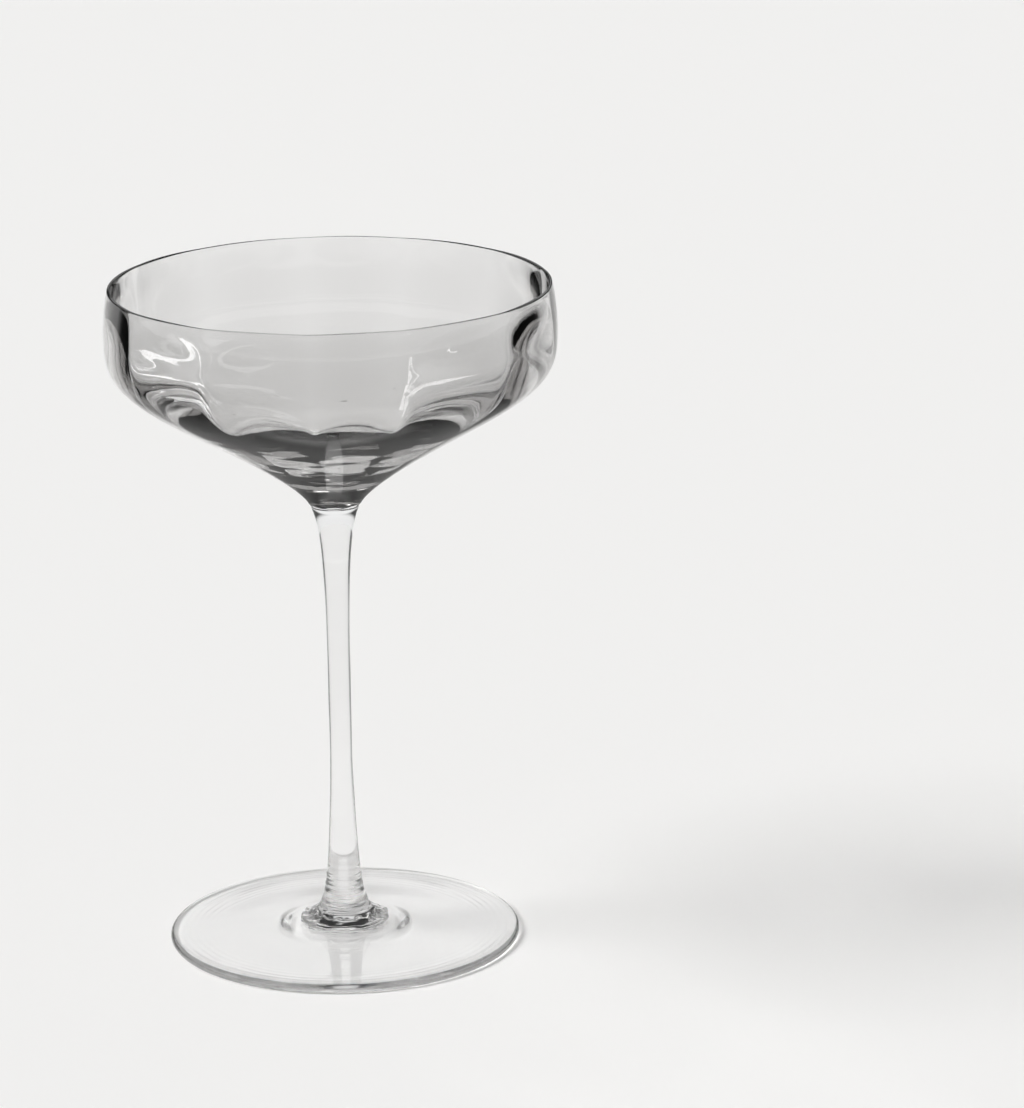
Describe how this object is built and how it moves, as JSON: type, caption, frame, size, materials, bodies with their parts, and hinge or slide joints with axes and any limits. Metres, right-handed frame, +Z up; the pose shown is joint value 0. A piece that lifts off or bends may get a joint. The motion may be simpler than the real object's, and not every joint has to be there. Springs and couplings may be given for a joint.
{
  "type": "champagne coupe",
  "caption": "Stemmed coupe glass: a wide shallow smoke-grey bowl with soft inner flutes, on a slim clear stem and a round clear foot, for drinks.",
  "frame": {"origin": "middle of the flat ring under the foot, on the surface that the glass stands on", "axes": "+Z up along the stem, -Y towards the viewer of the picture, +X to the viewer's right"},
  "size_m": [0.1124, 0.1124, 0.17],
  "materials": {
    "smoke_glass": "fire-polished blown glass, through-coloured smoke grey",
    "clear_stem_glass": "fire-polished drawn glass, clear",
    "clear_foot_glass": "fire-polished pressed glass, clear"
  },
  "bodies": {
    "root": {"bowl": "smoke_glass", "stem": "clear_stem_glass", "foot": "clear_foot_glass"}
  },
  "joints": []
}
